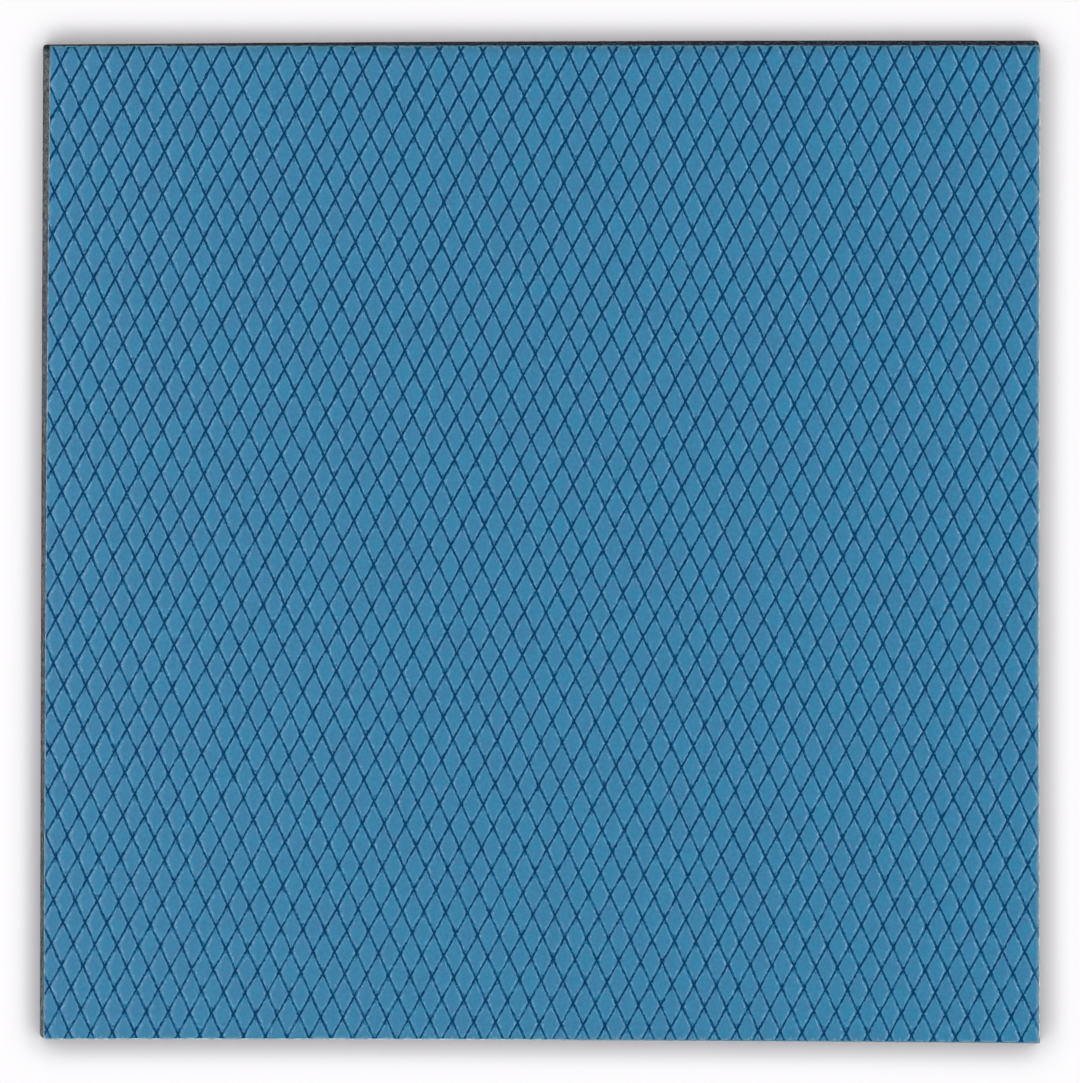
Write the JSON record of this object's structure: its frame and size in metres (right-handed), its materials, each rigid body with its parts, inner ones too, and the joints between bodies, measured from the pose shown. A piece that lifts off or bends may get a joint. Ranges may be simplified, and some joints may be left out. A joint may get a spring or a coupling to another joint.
{
  "type": "thermal pad sheet",
  "caption": "Square sheet of soft dark grey thermal gap pad, covered on top by a blue protective film embossed with small diamonds.",
  "frame": {"origin": "middle of the sheet's bounding box, on the underside of the pad", "axes": "+Z out of the film's face, through the thickness; +X to the right and +Y to the back edge as the picture shows the sheet from above"},
  "size_m": [0.1003, 0.1005, 0.0022],
  "materials": {
    "filled_silicone": "matte, grainy",
    "blue_film": "semi-gloss, embossed with diamonds"
  },
  "bodies": {
    "root": {"thermal_pad": "filled_silicone", "protective_film": "blue_film"}
  },
  "joints": []
}
